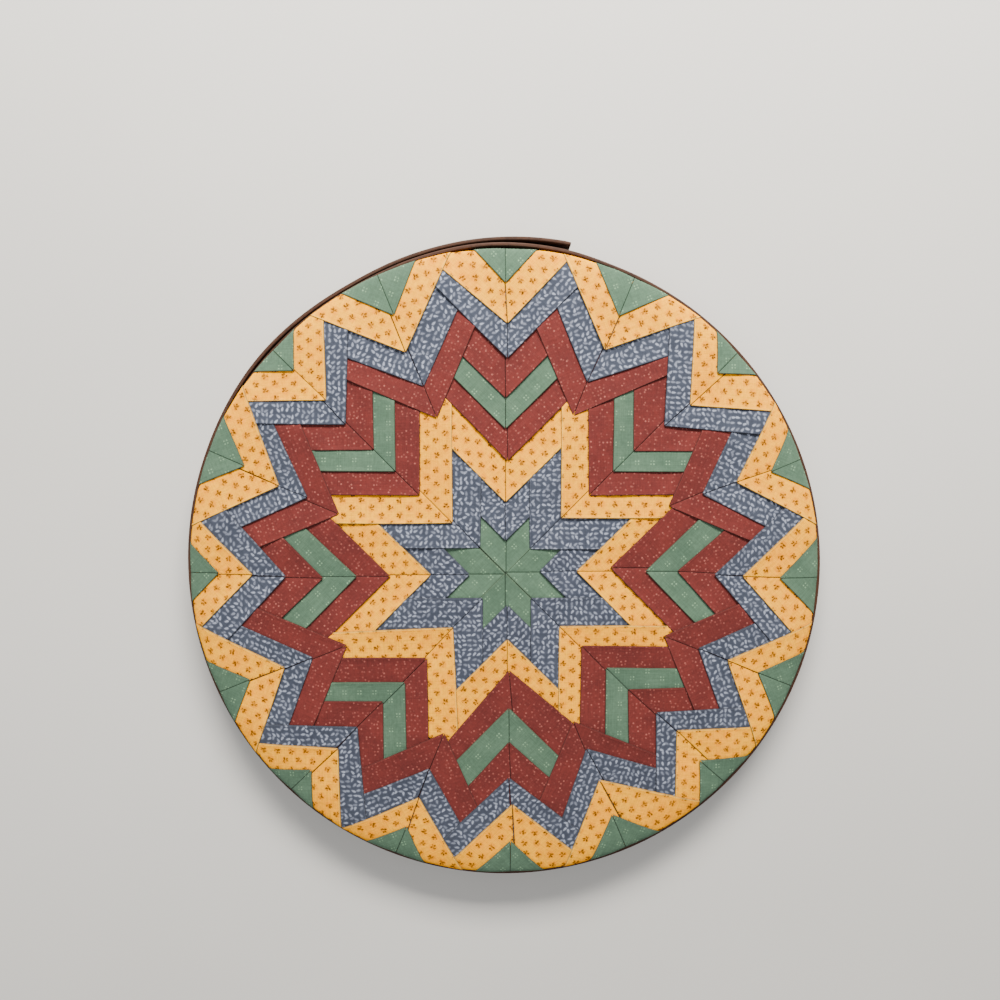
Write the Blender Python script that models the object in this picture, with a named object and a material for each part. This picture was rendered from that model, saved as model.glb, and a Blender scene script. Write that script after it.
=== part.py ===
"""Round folded star patchwork panel, stretched in a lapped bentwood hoop.

The panel lies on its back: +Z is the patchwork face, +Y the top of the star and +X its right side.
A plain inner hoop carries a foundation cloth, whose margin turns down round it and is gripped by
an outer band of thin bentwood with a long open lap. Nine rounds of folded patches lie on the
cloth, each with its folded edge towards the middle and raised a little over the round before it.
"""
import math
from collections import namedtuple

import bmesh
import bpy
from mathutils import Vector
from mathutils.geometry import delaunay_2d_cdt, intersect_line_line_2d

MM = 0.001
SEGMENTS = 96
GAP = 0.3 * MM

# Wood
BAND_DEPTH = 16.0 * MM
BAND_PLY = 2.0 * MM
BAND_TIP_PLY = 0.7 * MM
BAND_STEP_DEG = 3.0
HOOP_INNER_RADIUS = 170.5 * MM
HOOP_RADIUS = 175.0 * MM
HOOP_TOP = 14.4 * MM

# Cloth
FOUNDATION_THICKNESS = 1.0 * MM
FOUNDATION_TOP = HOOP_TOP + GAP + FOUNDATION_THICKNESS
MARGIN_BOTTOM = 0.8 * MM
MARGIN_STEP = 12.3 * MM
RIM_RADIUS = 177.6 * MM
FACE = 19.0 * MM
RELIEF = 0.7 * MM
FOLD_PITCH = 14.2 * MM

# The face rolls down to the rim as a quarter ellipse, in rings at these shares of its width
ROLL_WIDTH = 13.0 * MM
ROLL_DROP = 4.5 * MM
ROLL_SHARES = (0.0, 0.34, 0.55, 0.8, 0.923, 1.0)
ROLL_START = RIM_RADIUS - ROLL_WIDTH
ROLL_RINGS = [ROLL_START + ROLL_WIDTH * share for share in ROLL_SHARES]

# Rounded shoulders of the turned pieces, from the outer face in to the flat top
Shoulder = namedtuple("Shoulder", "inset_mm drop_mm")
HOOP_SHOULDER = (Shoulder(0.0, 2.2), Shoulder(1.0, 0.7), Shoulder(3.4, 0.0))
CLOTH_SHOULDER = (Shoulder(0.0, 3.0), Shoulder(1.5, 0.8), Shoulder(4.7, 0.0))
CLOTH_UNDERSIDE = (Shoulder(0.0, 2.3), Shoulder(1.1, 0.7), Shoulder(3.7, 0.0))

# Angles: sixteen steps round the star, step 0 pointing right
STEPS = 16
STEP_ANGLE = math.tau / STEPS
FOLD_ANGLE = math.radians(45.0)
BEYOND_RIM = 240.0 * MM

# Moving a folded corner this far along its axis moves its folded edges by half the gap
INSET = GAP / 2 / math.sin(FOLD_ANGLE)

# Each round of patches: its colour, the distance in mm from the middle of the star to the folded
# corners, and for each patch in turn, anticlockwise from the one on the right, how many mm its
# corner sits out and anticlockwise of its place in an even star. The star was sewn by hand.
Round = namedtuple("Round", "colour radius_mm uneven_mm")
ROUNDS = {
    2: Round("blue", 19, (
        (0, 1), (0, 0), (-1, 0), (1, 0), (1, 1), (0, 1), (-1, 1), (1, 0),
    )),
    3: Round("yellow", 41, (
        (-1, 1), (3, 0), (-1, 0), (0, 1), (1, 1), (2, 1), (-3, 1), (2, 0),
    )),
    4: Round("red", 62, (
        (-3, 3), (2, -2), (1, -1), (3, 3), (3, 2), (4, 3), (-6, 2), (-2, 1),
    )),
    5: Round("green", 82, (
        (-3, 1), (1, -2), (-1, 0), (2, 3), (2, 2), (3, 4), (-4, 2), (-3, 2),
    )),
    6: Round("red", 98, (
        (-1, 1), (1, 0), (1, -2), (-2, -1), (0, 0), (-3, 2), (3, 3), (1, 5),
        (5, 3), (1, 4), (4, 3), (1, 3), (0, 2), (-4, 3), (-1, 2), (-1, 1),
    )),
    7: Round("blue", 119, (
        (-1, -1), (0, -1), (2, -4), (-3, -1), (1, -1), (-5, 2), (3, 4), (0, 3),
        (5, 2), (1, 3), (4, 3), (3, 3), (0, 2), (-3, 2), (-1, 4), (-1, 2),
    )),
    8: Round("yellow", 137, (
        (-3, -2), (2, -2), (2, -6), (-1, -3), (2, -1), (-2, 4), (2, 2), (-1, 3),
        (6, 1), (0, 2), (3, 4), (3, 4), (-2, 4), (-5, 4), (-3, 5), (-1, 2),
    )),
    9: Round("green", 158, (
        (-3, -3), (1, -4), (4, -4), (-2, -3), (3, 0), (-2, 2), (5, 3), (0, 0),
        (4, 0), (0, 1), (2, 2), (1, 4), (-1, 3), (-4, 3), (-2, 2), (-3, 2),
    )),
}
STAR_OFFSET = Vector((0.6 * MM, -1.0 * MM))

# Folded edges that would cross beyond the rim are bent to meet this far from the hoop's axis
TIP_LIMIT = RIM_RADIUS - 2.0 * MM

# The bentwood strip from its free outer end once round and on below itself
BandStation = namedtuple("BandStation", "turn_deg outer_mm")
BAND_STATIONS = (
    BandStation(78.6, 187.0),
    BandStation(91.0, 186.2),
    BandStation(106.0, 184.2),
    BandStation(120.0, 182.4),
    BandStation(138.0, 183.0),
    BandStation(160.0, 181.4),
    BandStation(180.0, 180.5),
    BandStation(204.0, 180.0),
    BandStation(360.0, 180.1),
    BandStation(392.0, 180.0),
    BandStation(416.0, 180.5),
    BandStation(430.0, 181.1),
    BandStation(440.0, 182.6),
    BandStation(452.0, 183.2),
    BandStation(466.0, 181.7),
    BandStation(480.0, 180.0),
    BandStation(508.0, 179.95),
)
FEATHER_START_DEG = 486.0

# Base colour, roughness
COLOURS = {
    "green": ((0.21, 0.34, 0.25), 0.85),
    "blue": ((0.24, 0.29, 0.39), 0.85),
    "yellow": ((0.86, 0.55, 0.22), 0.85),
    "red": ((0.33, 0.06, 0.06), 0.85),
    "muslin": ((0.80, 0.74, 0.62), 0.90),
    "band_wood": ((0.19, 0.10, 0.05), 0.55),
    "hoop_wood": ((0.52, 0.36, 0.20), 0.60),
}


def clear_scene():
    for item in list(bpy.data.objects):
        bpy.data.objects.remove(item, do_unlink=True)


def make_material(name):
    colour, roughness = COLOURS[name]
    material = bpy.data.materials.new(name)
    material.use_nodes = True
    shader = material.node_tree.nodes["Principled BSDF"]
    shader.inputs["Base Color"].default_value = (*colour, 1.0)
    shader.inputs["Roughness"].default_value = roughness
    shader.inputs["Metallic"].default_value = 0.0
    material.diffuse_color = (*colour, 1.0)
    return material


def add_object(name, shape, material, parent):
    """Turn a bmesh into an object under the hoop's centre, with its faces pointing out."""
    bmesh.ops.remove_doubles(shape, verts=shape.verts, dist=1e-6)
    bmesh.ops.recalc_face_normals(shape, faces=shape.faces)
    mesh = bpy.data.meshes.new(name)
    shape.to_mesh(mesh)
    shape.free()
    mesh.shade_smooth()
    mesh.set_sharp_from_angle(angle=math.radians(25.0))
    mesh.materials.append(material)
    item = bpy.data.objects.new(name, mesh)
    item.parent = parent
    bpy.context.scene.collection.objects.link(item)
    return item


def piecewise(value, points):
    """Straight-line interpolation through (position, level) pairs in rising order."""
    if value <= points[0][0]:
        return points[0][1]
    for (low, low_level), (high, high_level) in zip(points, points[1:]):
        if value <= high:
            share = (value - low) / (high - low)
            return low_level + share * (high_level - low_level)
    return points[-1][1]


# The bentwood band

def band_outer_radius(turn_deg):
    """Outer radius of the strip, smooth through its stations."""
    rows = BAND_STATIONS
    last = len(rows) - 2
    index = next((i for i in range(last) if turn_deg <= rows[i + 1].turn_deg), last)
    left, right = rows[index], rows[index + 1]
    span = right.turn_deg - left.turn_deg

    def slope(i):
        if i == 0 or i == len(rows) - 1:
            return 0.0
        before = (rows[i].outer_mm - rows[i - 1].outer_mm) / (rows[i].turn_deg - rows[i - 1].turn_deg)
        after = (rows[i + 1].outer_mm - rows[i].outer_mm) / (rows[i + 1].turn_deg - rows[i].turn_deg)
        if before * after <= 0.0:
            return 0.0
        return 2.0 * before * after / (before + after)

    t = (turn_deg - left.turn_deg) / span
    radius = (
        (2 * t ** 3 - 3 * t ** 2 + 1) * left.outer_mm
        + (t ** 3 - 2 * t ** 2 + t) * span * slope(index)
        + (-2 * t ** 3 + 3 * t ** 2) * right.outer_mm
        + (t ** 3 - t ** 2) * span * slope(index + 1)
    )
    return radius * MM


def band_thickness(turn_deg):
    """Full ply, feathered to a thin tip where the strip ends under its own lap."""
    end = BAND_STATIONS[-1].turn_deg
    return piecewise(turn_deg, ((FEATHER_START_DEG, BAND_PLY), (end, BAND_TIP_PLY)))


def band_turns():
    start = BAND_STATIONS[0].turn_deg
    end = BAND_STATIONS[-1].turn_deg
    count = round((end - start) / BAND_STEP_DEG)
    return [start + (end - start) * i / count for i in range(count + 1)]


def polar(radius, angle):
    return Vector((radius * math.cos(angle), radius * math.sin(angle)))


def build_band():
    shape = bmesh.new()
    previous = None
    for turn in band_turns():
        outer_radius = band_outer_radius(turn)
        inner_radius = outer_radius - band_thickness(turn)
        angle = math.radians(turn)
        outer = polar(outer_radius, angle)
        inner = polar(inner_radius, angle)
        section = [
            shape.verts.new((*outer, 0.0)),
            shape.verts.new((*outer, BAND_DEPTH)),
            shape.verts.new((*inner, BAND_DEPTH)),
            shape.verts.new((*inner, 0.0)),
        ]
        if previous is None:
            shape.faces.new(section)
        else:
            for i in range(4):
                j = (i + 1) % 4
                shape.faces.new((previous[i], previous[j], section[j], section[i]))
        previous = section
    shape.faces.new(reversed(previous))
    return shape


def hoop_centre():
    """Where the hoop's own centre lies when the origin is the middle of the whole outline."""
    points = [polar(band_outer_radius(turn), math.radians(turn)) for turn in band_turns()]
    xs = [point.x for point in points]
    ys = [point.y for point in points]
    return Vector((-(min(xs) + max(xs)) / 2, -(min(ys) + max(ys)) / 2, 0.0))


# Turned pieces: inner hoop and foundation cloth

def turned_solid(profile, closed_at_axis):
    """Turn a profile of (radius, height) points round the Z axis."""
    shape = bmesh.new()
    rings = []
    for radius, height in profile:
        if radius == 0.0:
            rings.append([shape.verts.new((0.0, 0.0, height))])
            continue
        corners = [polar(radius, math.tau * i / SEGMENTS) for i in range(SEGMENTS)]
        rings.append([shape.verts.new((*corner, height)) for corner in corners])
    pairs = list(zip(rings, rings[1:]))
    if not closed_at_axis:
        pairs.append((rings[-1], rings[0]))
    for low, high in pairs:
        for i in range(SEGMENTS):
            j = (i + 1) % SEGMENTS
            if len(low) == 1:
                shape.faces.new((low[0], high[i], high[j]))
            elif len(high) == 1:
                shape.faces.new((low[i], high[0], low[j]))
            else:
                shape.faces.new((low[i], high[i], high[j], low[j]))
    return shape


def shoulder(radius, top, points):
    """Profile points of a rounded shoulder, from the outer face up to the flat top."""
    return [(radius - point.inset_mm * MM, top - point.drop_mm * MM) for point in points]


def build_inner_hoop():
    profile = [
        (HOOP_INNER_RADIUS, 0.0),
        (HOOP_RADIUS, 0.0),
        *shoulder(HOOP_RADIUS, HOOP_TOP, HOOP_SHOULDER),
        (HOOP_INNER_RADIUS, HOOP_TOP),
    ]
    return turned_solid(profile, closed_at_axis=False)


def build_foundation():
    """Cloth across the hoop, and its margin turned down round it in several plies."""
    underside = FOUNDATION_TOP - FOUNDATION_THICKNESS
    inner = HOOP_RADIUS + GAP
    outer = inner + FOUNDATION_THICKNESS
    profile = [
        (0.0, underside),
        *reversed(shoulder(inner, underside, CLOTH_UNDERSIDE)),
        (inner, MARGIN_BOTTOM),
        (RIM_RADIUS, MARGIN_BOTTOM),
        (RIM_RADIUS, MARGIN_STEP),
        (outer, MARGIN_STEP),
        *shoulder(outer, FOUNDATION_TOP, CLOTH_SHOULDER),
        (0.0, FOUNDATION_TOP),
    ]
    return turned_solid(profile, closed_at_axis=True)


# The folded star

def step_angle(step):
    return step * STEP_ANGLE


def apex(number, step, shift=0.0):
    """Folded corner of the patch of a round on one of the sixteen axes, moved out by shift."""
    if number == 1:
        return STAR_OFFSET.copy()
    row = ROUNDS[number]
    patches = len(row.uneven_mm)
    out, aside = row.uneven_mm[step * patches // STEPS % patches]
    along = polar((row.radius_mm + out) * MM + shift, step_angle(step))
    across = polar(aside * MM, step_angle(step) + math.pi / 2)
    return STAR_OFFSET + along + across


def fold_line(number, step, side, shift=0.0):
    """Two far points on the folded edge that leaves a patch's corner on the given side."""
    start = apex(number, step, shift)
    reach = polar(BEYOND_RIM, step_angle(step) + side * FOLD_ANGLE)
    return start - reach, start + reach


def meet(first, second):
    return intersect_line_line_2d(first[0], first[1], second[0], second[1])


def tip(number, step, stride, shift=0.0):
    """Where the folded edges of two neighbouring patches of a round cross."""
    left = fold_line(number, step, 1, shift)
    right = fold_line(number, step + stride, -1, shift)
    point = meet(left, right)
    limit = TIP_LIMIT + shift
    if number == 8 and point.length > limit:
        point = point * (limit / point.length)
    return point


def fold_depth(number, point):
    """Distance of a point behind the nearest folded edge of its round."""
    if number == 1:
        axes = range(0, STEPS, 4)
    elif number <= 5:
        axes = range(0, STEPS, 2)
    else:
        axes = range(STEPS)
    best = -BEYOND_RIM
    for step in axes:
        offset = point - apex(number, step)
        axis = polar(1.0, step_angle(step))
        along = offset.dot(axis)
        across = abs(offset.cross(axis))
        best = max(best, (along - across) / math.sqrt(2.0))
    return max(0.0, min(best, FOLD_PITCH))


def facet_radius(point):
    """Radius of the SEGMENTS-sided ring that passes through a point."""
    width = math.tau / SEGMENTS
    angle = math.atan2(point.y, point.x)
    middle = (math.floor(angle / width) + 0.5) * width
    return point.length * math.cos(angle - middle) / math.cos(width / 2)


def roll_height(radius):
    points = []
    for ring, share in zip(ROLL_RINGS, ROLL_SHARES):
        points.append((ring, FACE - ROLL_DROP * (1.0 - math.sqrt(1.0 - share ** 2))))
    return piecewise(radius, points)


def top_height(number, point):
    """Level of a round's face, highest along its folded edges."""
    lift = RELIEF * (0.5 - fold_depth(number, point) / FOLD_PITCH)
    return roll_height(facet_radius(point)) + lift


def bottom_height(point):
    """Underside of the patches, just clear of the foundation cloth and its turned margin."""
    flat = FOUNDATION_TOP + GAP
    knee, edge = CLOTH_SHOULDER[1], CLOTH_SHOULDER[0]
    points = (
        (ROLL_RINGS[2], flat),
        (ROLL_RINGS[3], flat - knee.drop_mm * MM),
        (ROLL_RINGS[4], flat - edge.drop_mm * MM),
        (RIM_RADIUS, MARGIN_STEP + GAP),
    )
    return piecewise(facet_radius(point), points)


def ring_corners(radius):
    return [polar(radius, math.tau * i / SEGMENTS) for i in range(SEGMENTS)]


def counter_clockwise(polygon):
    area = sum(a.cross(b) for a, b in zip(polygon, polygon[1:] + polygon[:1]))
    return polygon if area > 0.0 else polygon[::-1]


def patch_solid(number, polygons):
    """Solid over flat polygons, cut off at the rim, with the height of its round on top."""
    points = []
    edges = []
    faces = []
    reaches_roll = any(corner.length > ROLL_START for polygon in polygons for corner in polygon)
    rings = ROLL_RINGS[:-1] if reaches_roll else []
    for polygon in [ring_corners(RIM_RADIUS), *polygons]:
        faces.append(list(range(len(points), len(points) + len(polygon))))
        points.extend(counter_clockwise(polygon))
    for radius in rings:
        first = len(points)
        points.extend(ring_corners(radius))
        edges.extend((first + i, first + (i + 1) % SEGMENTS) for i in range(SEGMENTS))
    flat = delaunay_2d_cdt(points, edges, faces, 1, 1e-7)
    corners, triangles, origins = flat[0], flat[2], flat[5]

    shape = bmesh.new()
    tops = {}
    bottoms = {}
    for triangle, origin in zip(triangles, origins):
        if 0 not in origin or len(origin) < 2:
            continue
        for index in triangle:
            if index not in tops:
                corner = corners[index]
                tops[index] = shape.verts.new((*corner, top_height(number, corner)))
                bottoms[index] = shape.verts.new((*corner, bottom_height(corner)))
        shape.faces.new([tops[index] for index in triangle])
        shape.faces.new([bottoms[index] for index in reversed(triangle)])
    lower = {vert: bottoms[index] for index, vert in tops.items()}
    top_verts = set(lower)
    rim_edges = [edge for edge in shape.edges if edge.is_boundary and set(edge.verts) <= top_verts]
    for edge in rim_edges:
        loop = edge.link_loops[0]
        start = loop.vert
        end = loop.link_loop_next.vert
        shape.faces.new((end, start, lower[start], lower[end]))
    return shape


def round_one_polygons():
    """The centre star, as far as the folded edges of round two."""
    middle = apex(1, 0)
    polygons = []
    for step in range(0, STEPS, 2):
        point = tip(2, step, 2, -INSET)
        polygons.append([middle, apex(2, step, -INSET), point])
        polygons.append([middle, point, apex(2, step + 2, -INSET)])
    return polygons


def ring_polygons(number, stride):
    """Both halves of every patch in a round that goes right round the star."""
    polygons = []
    for step in range(0, STEPS, stride):
        inner = tip(number, step, stride, INSET)
        outer = tip(number + 1, step, stride, -INSET)
        for side in (step, step + stride):
            polygons.append([apex(number, side, INSET), apex(number + 1, side, -INSET), outer, inner])
    return polygons


def cut_corner(number, step, side, shift):
    """Where a folded edge of rounds four to six runs under the between patch of round six."""
    own = fold_line(number, step, side, shift)
    cover = fold_line(6, step + side, -side, -INSET)
    return meet(own, cover)


def round_three_polygons():
    """Yellow ring, cut back by the red chevrons and by the between patches of round six."""
    polygons = []
    for step in range(0, STEPS, 2):
        inner = tip(3, step, 2, INSET)
        between = apex(6, step + 1, -INSET)
        for axis, side in ((step, 1), (step + 2, -1)):
            polygons.append([
                apex(3, axis, INSET),
                apex(4, axis, -INSET),
                cut_corner(4, axis, side, -INSET),
                between,
                inner,
            ])
    return polygons


def chevron_polygons(number, step):
    """The two arms of one chevron of round four or five."""
    polygons = []
    for side in (1, -1):
        polygons.append([
            apex(number, step, INSET),
            apex(number + 1, step, -INSET),
            cut_corner(number + 1, step, side, -INSET),
            cut_corner(number, step, side, INSET),
        ])
    return polygons


def round_eight_polygons():
    """Yellow ring, running out over the rim between the wedges of round nine."""
    polygons = []
    for step in range(STEPS):
        inner = tip(8, step, 1, INSET)
        outward = inner + polar(BEYOND_RIM, step_angle(step + 0.5))
        for axis, side in ((step, 1), (step + 1, -1)):
            polygons.append([
                apex(8, axis, INSET),
                apex(9, axis, -INSET),
                tip(9, step, 1, -INSET),
                outward,
                inner,
            ])
    return polygons


def wedge_polygons(step):
    """One green wedge of round nine, from its corner out over the rim."""
    corner = apex(9, step, INSET)
    outward = corner + polar(BEYOND_RIM, step_angle(step))
    return [[corner, outward, fold_line(9, step, side, INSET)[1]] for side in (1, -1)]


def build_rounds(parent, materials):
    rings = (
        (1, "green", round_one_polygons()),
        (2, "blue", ring_polygons(2, 2)),
        (3, "yellow", round_three_polygons()),
        (6, "red", ring_polygons(6, 1)),
        (7, "blue", ring_polygons(7, 1)),
        (8, "yellow", round_eight_polygons()),
    )
    for number, colour, polygons in rings:
        name = f"round_{number}_{colour}"
        add_object(name, patch_solid(number, polygons), materials[colour], parent)
    for number in (4, 5):
        colour = ROUNDS[number].colour
        for index, step in enumerate(range(0, STEPS, 2), start=1):
            name = f"round_{number}_{colour}_{index}"
            shape = patch_solid(number, chevron_polygons(number, step))
            add_object(name, shape, materials[colour], parent)
    for step in range(STEPS):
        name = f"round_9_green_{step + 1:02d}"
        add_object(name, patch_solid(9, wedge_polygons(step)), materials["green"], parent)


def main():
    clear_scene()
    materials = {name: make_material(name) for name in COLOURS}
    centre = bpy.data.objects.new("hoop_centre", None)
    centre.location = hoop_centre()
    bpy.context.scene.collection.objects.link(centre)
    add_object("outer_band", build_band(), materials["band_wood"], centre)
    add_object("inner_hoop", build_inner_hoop(), materials["hoop_wood"], centre)
    add_object("foundation", build_foundation(), materials["muslin"], centre)
    build_rounds(centre, materials)
    bpy.context.view_layer.update()


main()
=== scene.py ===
# Looks of a round folded star patchwork panel, stretched in a lapped bentwood hoop.
# A hundred calico squares, each folded in half and then into a triangle, are laid in nine rounds
# with the folded corner of each towards the middle. The outer rounds roll over the rim and run
# down inside the band to the back. Lengths are in metres unless a name says millimetres.
import math
import random
from collections import namedtuple

import bmesh
import bpy
import numpy as np
from mathutils import Matrix, Vector


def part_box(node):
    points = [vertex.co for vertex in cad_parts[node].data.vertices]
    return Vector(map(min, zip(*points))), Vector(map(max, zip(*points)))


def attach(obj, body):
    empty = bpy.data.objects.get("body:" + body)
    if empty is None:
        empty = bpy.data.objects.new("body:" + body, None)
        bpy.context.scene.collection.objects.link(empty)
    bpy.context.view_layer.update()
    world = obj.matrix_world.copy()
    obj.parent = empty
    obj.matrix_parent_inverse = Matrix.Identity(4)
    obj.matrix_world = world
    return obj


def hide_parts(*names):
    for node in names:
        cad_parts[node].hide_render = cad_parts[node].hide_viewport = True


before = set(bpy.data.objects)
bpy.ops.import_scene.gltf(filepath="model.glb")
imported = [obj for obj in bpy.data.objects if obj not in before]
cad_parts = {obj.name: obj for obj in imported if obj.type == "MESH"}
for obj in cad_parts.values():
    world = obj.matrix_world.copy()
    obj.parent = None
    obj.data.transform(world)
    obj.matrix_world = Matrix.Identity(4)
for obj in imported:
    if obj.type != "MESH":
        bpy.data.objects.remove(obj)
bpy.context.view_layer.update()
random.seed(1848)

MM = 0.001
SQRT2 = math.sqrt(2.0)

# The hoop, as the solids have it
hoop_low, hoop_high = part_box("inner_hoop")
CENTRE = Vector(((hoop_low[0] + hoop_high[0]) / 2, (hoop_low[1] + hoop_high[1]) / 2, 0.0))
BAND_DEPTH = 16.0 * MM
BAND_PLY = 2.0 * MM
BAND_TIP_PLY = 0.7 * MM
HOOP_INNER_RADIUS = 170.5 * MM
HOOP_RADIUS = 175.0 * MM
HOOP_TOP = 14.4 * MM

# The face, and the quarter ellipse by which it rolls out over the band's front edge. From its
# widest place the cloth turns in again and runs down inside the band.
FACE = 19.3 * MM
ROLL_START = 160.0 * MM
ROLL_WIDTH = 18.8 * MM
ROLL_DROP = 2.5 * MM
RimPoint = namedtuple("RimPoint", "radius_mm level_mm out up")
RIM_POINTS = (
    RimPoint(178.74, 16.60, 0.93, -0.37),
    RimPoint(178.52, 16.42, 0.55, -0.84),
    RimPoint(178.15, 16.34, 0.35, -0.94),
    RimPoint(177.75, 16.18, 0.55, -0.84),
    RimPoint(177.46, 15.80, 0.85, -0.53),
    RimPoint(177.32, 15.20, 0.98, -0.20),
    RimPoint(177.30, 14.50, 1.00, 0.00),
)
RIM_RADIUS = 177.3 * MM

# Round this tight bend the plies that lie under others step back inwards and a little down, not
# straight in from the surface, where they would come through it
BEND_START = 176.0 * MM
BEND_END = 178.5 * MM
STEP_BACK_OUT = 0.94
STEP_BACK_UP = 0.33

# Level at which the cloth is trimmed behind the band, and how much further its profile is known
CLOTH_END = 1.0 * MM
BEYOND_END = 0.05

# The rim stands out further under the lap and to the left of it
Bulge = namedtuple("Bulge", "middle_deg spread_deg out_mm")
BULGES = (Bulge(92.0, 15.0, 1.1), Bulge(114.0, 7.0, 0.8), Bulge(153.0, 7.0, 1.7))

# On the lower right it is drawn in, so that more of the band shows there
DRAWN_IN = 0.8 * MM
DRAWN_IN_MIDDLE_DEG = -30.0

# Little puckers of the cloth where it is gathered over the rim: how many waves go round, and the
# range of their relative sizes
PUCKER_WAVES = (9, 14, 23, 31, 47)
PUCKER_SIZES = (0.4, 1.0)
PUCKER_HEIGHT = 0.06 * MM

# One folded patch: a square of this side, in four plies. The last round needs smaller squares.
# Its folded edges are half ellipses, this far from the middle to the tip and to the top, and its
# two halves meet in a seam along the middle.
CUT = 114.0 * MM
LAST_CUT = 84.0 * MM
FOLD_RADIUS = 0.44 * MM
FOLD_WIDTH = 1.05 * MM
SEAM_RADIUS = 0.17 * MM
SEAM_GAP = 0.10 * MM
SEAM_SETBACK = SQRT2 * (SEAM_GAP + SEAM_RADIUS)
INNER_FLAP = -2 * SEAM_RADIUS
INNER_FOLD_RADIUS = 0.10 * MM

# Relief of the rounds. A patch is highest at its folded edges, where the plies puff up, and
# slopes down behind them. Patches that lie over their neighbours are lifted, and every patch
# presses the earlier ones down, more so further behind its edges.
CREST = 0.35 * MM
SLOPE = 0.7 / 14.2
PUFF = 0.36 * MM
PUFF_WIDTH = 1.2 * MM
OVER_LIFT = 0.22 * MM
CLEARANCE = 0.22 * MM
FULL_CLEARANCE = 1.35 * MM
CLEARANCE_DEPTH = 3.0 * MM
SIDE_PRESS = 0.7

# Hand work: how patches are turned, how their edges bow and how their cloth waves. They are cut
# from anywhere in a piece of printed cloth this long.
CLOTH_LENGTH = 0.4
UNEVEN_TURN_DEG = 0.4
UNEVEN_BOW_MM = 0.22
BOW_DEPTH = 12.0 * MM
WAVE_HEIGHT = 0.06 * MM
WAVE_LENGTHS_MM = (14.0, 34.0)
WAVES = 3

# Patches point in sixteen directions, from a middle that is a little off the hoop's
STEPS = 16
STEP_ANGLE = math.tau / STEPS
STAR_OFFSET = np.array((0.6, -1.0)) * MM

# Each round of patches: its colour, the distance in mm from the middle of the star to the folded
# corners, and for each patch in turn, anticlockwise from the one on the right, how many mm its
# corner sits out and anticlockwise of its place in an even star. The star was sewn by hand. The
# four patches of the centre star meet in its middle, and lap over each other a little unevenly.
Round = namedtuple("Round", "colour radius_mm uneven_mm")
ROUNDS = {
    1: Round("green", 0, (
        (-0.5, 0.5), (-0.5, -0.3), (-0.5, 0.6), (-0.5, -0.2),
    )),
    2: Round("blue", 19, (
        (0, 1), (0, 0), (-1, 0), (1, 0), (1, 1), (0, 1), (-1, 1), (1, 0),
    )),
    3: Round("yellow", 41, (
        (-1, 1), (3, 0), (-1, 0), (0, 1), (1, 1), (2, 1), (-3, 1), (2, 0),
    )),
    4: Round("red", 62, (
        (-3, 3), (2, -2), (1, -1), (3, 3), (3, 2), (4, 3), (-6, 2), (-2, 1),
    )),
    5: Round("green", 82, (
        (-3, 1), (1, -2), (-1, 0), (2, 3), (2, 2), (3, 4), (-4, 2), (-3, 2),
    )),
    6: Round("red", 98, (
        (-1, 1), (1, 0), (1, -2), (-2, -1), (0, 0), (-3, 2), (3, 3), (1, 5),
        (5, 3), (1, 4), (4, 3), (1, 3), (0, 2), (-4, 3), (-1, 2), (-1, 1),
    )),
    7: Round("blue", 119, (
        (-1, -1), (0, -1), (2, -4), (-3, -1), (1, -1), (-5, 2), (3, 4), (0, 3),
        (5, 2), (1, 3), (4, 3), (3, 3), (0, 2), (-7, 4), (-1, 4), (-1, 2),
    )),
    8: Round("yellow", 137, (
        (-3, -2), (2, -2), (2, -6), (-1, -3), (2, -1), (-2, 4), (2, 2), (-1, 3),
        (6, 1), (0, 2), (3, 4), (3, 4), (-2, 4), (-5, 4), (-3, 5), (-1, 2),
    )),
    9: Round("green", 158, (
        (-3, -3), (1, -4), (4, -4), (-2, -3), (3, 0), (-2, 2), (5, 3), (0, 0),
        (4, 0), (0, 1), (2, 2), (1, 4), (-1, 3), (-4, 3), (-2, 2), (-3, 2),
    )),
}
CHEVRON_ROUNDS = (4, 5)
FIRST_RIM_ROUND = 7
LAST_ROUND = 9

# How far patches sit turned from their place in an even star, in degrees, by round and step
TURNED_DEG = {
    3: {10: 2.7},
    4: {12: 4.7},
    6: {0: -3.6, 12: 2.5, 14: 2.5},
    7: {
        0: -2.2, 1: -3.0, 2: -4.5, 3: -2.1, 4: 0.4, 5: 0.3, 6: -1.8, 7: 1.4,
        8: -0.6, 10: 1.4, 11: 2.6, 12: 2.6, 13: 5.9, 14: 1.8, 15: 0.3,
    },
    8: {
        0: -2.0, 1: -3.7, 2: -2.2, 3: -1.0, 4: 4.4, 6: 1.5, 7: -0.7, 8: -1.3,
        9: -0.8, 10: -0.4, 11: 4.0, 12: 2.6, 13: 5.0, 14: 1.0, 15: -0.2,
    },
    9: {14: 2.7},
}

# The folded corners of these rounds are stretched a little wider than square. A patch's edges
# stand out by this many mm where they meet the next patch's, which is this share of the round's
# radius along them. The cloth is square again at this depth behind the edges.
SPREAD_AT = 0.351
SPREAD_MM = {
    7: (1.5, 1.0, 1.0, 1.5, 0.0, 1.5, 0.5, 0.0, 2.0, 1.5, 2.5, 2.5, 3.0, 1.0, 1.0, 1.5),
    8: (1.0, 0.5, 0.5, 2.0, 2.0, 1.5, 0.0, 2.0, 0.5, 2.5, 1.5, 2.5, 3.0, 3.0, 1.0, 1.5),
}
SPREAD_DEPTH = 24.0 * MM

# The patches of a round that lie over their neighbours, by the direction they point in
OVER = {
    2: "diagonal", 3: "diagonal", 4: "diagonal", 5: "diagonal",
    6: "between", 7: "main", 8: "between",
}

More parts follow.
